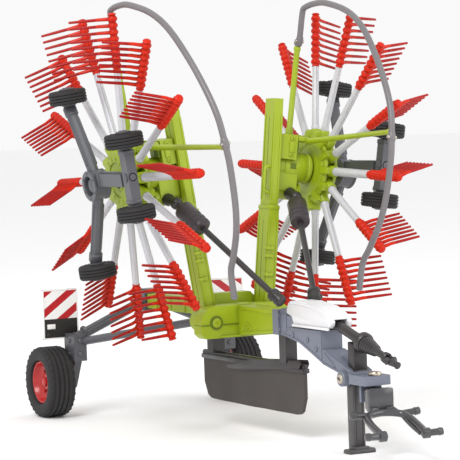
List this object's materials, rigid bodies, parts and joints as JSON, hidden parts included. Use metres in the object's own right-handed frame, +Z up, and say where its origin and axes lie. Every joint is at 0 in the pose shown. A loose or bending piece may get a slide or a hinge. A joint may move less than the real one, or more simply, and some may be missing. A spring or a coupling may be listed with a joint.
{
  "type": "toy twin-rotor hay rake",
  "caption": "Trailed toy hay rake with folding rotors of red tine arms, guard hoops, bogies, a drawbar with a hitch fork and stand, a swath curtain and a wheeled rear axle.",
  "frame": {"origin": "on the ground, at the middle of the length and width", "axes": "+X to the vehicle's left, -Y to the hitch, +Z up"},
  "size_m": [0.1038, 0.1788, 0.1294],
  "materials": {
    "lime_frame": "satin lime green enamel",
    "red_tines": "satin red-orange",
    "grey_fittings": "satin mid grey",
    "grey_drawbar": "satin blue-grey enamel",
    "grey_hoop": "semi-gloss warm grey",
    "black_shafts": "satin black",
    "black_curtain": "dull brown-black with a glossy top bead",
    "black_tyre": "dull black",
    "red_rim": "glossy red",
    "white_cover": "semi-gloss white",
    "warning_panel": "white with red diagonal stripes over a black lower part",
    "bright_pins": "bright turned steel"
  },
  "bodies": {
    "frame": {"main_frame": "lime_frame", "left_fold_pin": "lime_frame", "right_fold_pin": "lime_frame", "drawbar": "grey_drawbar", "gearbox_cover": "white_cover", "input_shaft": "black_shafts", "hitch_pin": "bright_pins", "stand_pin": "bright_pins", "swath_curtain": "black_curtain", "curtain_front_post": "black_curtain", "curtain_rear_post": "black_curtain", "rear_axle": "grey_fittings", "left_warning_panel": "warning_panel", "right_warning_panel": "warning_panel"},
    "hitch": {"hitch_fork": "grey_fittings"},
    "stand": {"stand_leg": "grey_fittings"},
    "left_boom": {"left_boom_sleeve": "lime_frame", "left_boom_bar": "lime_frame", "left_gearbox": "lime_frame", "left_hoop_bracket": "lime_frame", "left_guard_hoop": "grey_hoop", "left_bogie_frame": "grey_fittings"},
    "left_rotor": {"left_rotor_head": "lime_frame", "left_tine_arms": "red_tines"},
    "left_bogie_beam": {"left_bogie_beam": "grey_fittings"},
    "left_rear_wheel": {"left_rear_tyre": "black_tyre", "left_rear_rim": "red_rim"},
    "left_shaft_rod": {"left_shaft_rod": "black_shafts"},
    "left_shaft_guard": {"left_shaft_guard": "black_shafts"},
    "left_bogie_wheel_rear_upper": {"left_bogie_wheel_rear_upper": "black_tyre"},
    "left_bogie_wheel_rear_lower": {"left_bogie_wheel_rear_lower": "black_tyre"},
    "left_bogie_wheel_front_upper": {"left_bogie_wheel_front_upper": "black_tyre"},
    "left_bogie_wheel_front_lower": {"left_bogie_wheel_front_lower": "black_tyre"},
    "right_boom": {"right_boom_sleeve": "lime_frame", "right_boom_bar": "lime_frame", "right_gearbox": "lime_frame", "right_hoop_bracket": "lime_frame", "right_guard_hoop": "grey_hoop", "right_bogie_frame": "grey_fittings"},
    "right_rotor": {"right_rotor_head": "lime_frame", "right_tine_arms": "red_tines"},
    "right_bogie_beam": {"right_bogie_beam": "grey_fittings"},
    "right_rear_wheel": {"right_rear_tyre": "black_tyre", "right_rear_rim": "red_rim"},
    "right_shaft_rod": {"right_shaft_rod": "black_shafts"},
    "right_shaft_guard": {"right_shaft_guard": "black_shafts"},
    "right_bogie_wheel_rear_upper": {"right_bogie_wheel_rear_upper": "black_tyre"},
    "right_bogie_wheel_rear_lower": {"right_bogie_wheel_rear_lower": "black_tyre"},
    "right_bogie_wheel_front_upper": {"right_bogie_wheel_front_upper": "black_tyre"},
    "right_bogie_wheel_front_lower": {"right_bogie_wheel_front_lower": "black_tyre"}
  },
  "joints": [
    {"name": "hitch_yaw", "type": "hinge", "parent": "frame", "child": "hitch", "pos_m": [0, -0.06859, 0.017], "axis": [0, 0, 1], "range_deg": [-18, 32]},
    {"name": "stand_fold", "type": "hinge", "parent": "frame", "child": "stand", "pos_m": [0, -0.05749, 0.0209], "axis": [1, 0, 0], "range_deg": [0, 84]},
    {"name": "left_fold", "type": "hinge", "parent": "frame", "child": "left_boom", "pos_m": [0.0103, 0.01441, 0.033], "axis": [0, 1, 0], "range_deg": [0, 81.6]},
    {"name": "left_rotor_spin", "type": "hinge", "parent": "left_boom", "child": "left_rotor", "pos_m": [0.0324, 0.01831, 0.077], "axis": [0.9893, 0, -0.1461], "continuous": true},
    {"name": "left_beam_rock", "type": "hinge", "parent": "left_boom", "child": "left_bogie_beam", "pos_m": [0.04247, -0.00569, 0.07814], "axis": [0, 1, 0], "range_deg": [-8, 8]},
    {"name": "left_rear_upper_wheel_spin", "type": "hinge", "parent": "left_boom", "child": "left_bogie_wheel_rear_upper", "pos_m": [0.04598, 0.02881, 0.10188], "axis": [0.1461, 0, 0.9893], "continuous": true},
    {"name": "left_rear_lower_wheel_spin", "type": "hinge", "parent": "left_boom", "child": "left_bogie_wheel_rear_lower", "pos_m": [0.03821, 0.02881, 0.04925], "axis": [0.1461, 0, 0.9893], "continuous": true},
    {"name": "left_front_upper_wheel_spin", "type": "hinge", "parent": "left_bogie_beam", "child": "left_bogie_wheel_front_upper", "pos_m": [0.04404, -0.00569, 0.08873], "axis": [0.1461, 0, 0.9893], "continuous": true},
    {"name": "left_front_lower_wheel_spin", "type": "hinge", "parent": "left_bogie_beam", "child": "left_bogie_wheel_front_lower", "pos_m": [0.04091, -0.00569, 0.06756], "axis": [0.1461, 0, 0.9893], "continuous": true},
    {"name": "left_rear_wheel_spin", "type": "hinge", "parent": "frame", "child": "left_rear_wheel", "pos_m": [0.03384, 0.07801, 0.01134], "axis": [1, 0, 0], "continuous": true},
    {"name": "left_shaft_swing", "type": "hinge", "parent": "frame", "child": "left_shaft_rod", "pos_m": [0.0059, -0.02589, 0.0413], "axis": [0.0669, 0.9917, -0.1097], "range_deg": [0, 83.5]},
    {"name": "left_shaft_slide", "type": "slide", "parent": "left_shaft_rod", "child": "left_shaft_guard", "axis": [0.3034, 0.75, 0.5878], "range_m": [0, 0.0091]},
    {"name": "right_fold", "type": "hinge", "parent": "frame", "child": "right_boom", "pos_m": [-0.0103, 0.01441, 0.033], "axis": [0, -1, 0], "range_deg": [0, 81.6]},
    {"name": "right_rotor_spin", "type": "hinge", "parent": "right_boom", "child": "right_rotor", "pos_m": [-0.0324, 0.01831, 0.077], "axis": [-0.9893, 0, -0.1461], "continuous": true},
    {"name": "right_beam_rock", "type": "hinge", "parent": "right_boom", "child": "right_bogie_beam", "pos_m": [-0.04247, -0.00569, 0.07814], "axis": [0, 1, 0], "range_deg": [-8, 8]},
    {"name": "right_rear_upper_wheel_spin", "type": "hinge", "parent": "right_boom", "child": "right_bogie_wheel_rear_upper", "pos_m": [-0.04598, 0.02881, 0.10188], "axis": [-0.1461, 0, 0.9893], "continuous": true},
    {"name": "right_rear_lower_wheel_spin", "type": "hinge", "parent": "right_boom", "child": "right_bogie_wheel_rear_lower", "pos_m": [-0.03821, 0.02881, 0.04925], "axis": [-0.1461, 0, 0.9893], "continuous": true},
    {"name": "right_front_upper_wheel_spin", "type": "hinge", "parent": "right_bogie_beam", "child": "right_bogie_wheel_front_upper", "pos_m": [-0.04404, -0.00569, 0.08873], "axis": [-0.1461, 0, 0.9893], "continuous": true},
    {"name": "right_front_lower_wheel_spin", "type": "hinge", "parent": "right_bogie_beam", "child": "right_bogie_wheel_front_lower", "pos_m": [-0.04091, -0.00569, 0.06756], "axis": [-0.1461, 0, 0.9893], "continuous": true},
    {"name": "right_rear_wheel_spin", "type": "hinge", "parent": "frame", "child": "right_rear_wheel", "pos_m": [-0.03384, 0.07801, 0.01134], "axis": [1, 0, 0], "continuous": true},
    {"name": "right_shaft_swing", "type": "hinge", "parent": "frame", "child": "right_shaft_rod", "pos_m": [-0.0059, -0.02589, 0.0413], "axis": [0.0669, -0.9917, 0.1097], "range_deg": [0, 83.5]},
    {"name": "right_shaft_slide", "type": "slide", "parent": "right_shaft_rod", "child": "right_shaft_guard", "axis": [-0.3034, 0.75, 0.5878], "range_m": [0, 0.0091]}
  ],
  "couplings": [
    {"joint": "left_shaft_swing", "follows": "left_fold", "ratio": 1.0205},
    {"joint": "left_shaft_slide", "follows": "left_fold", "m_per_rad": 0.006265},
    {"joint": "right_shaft_swing", "follows": "right_fold", "ratio": 1.0205},
    {"joint": "right_shaft_slide", "follows": "right_fold", "m_per_rad": 0.006265}
  ]
}
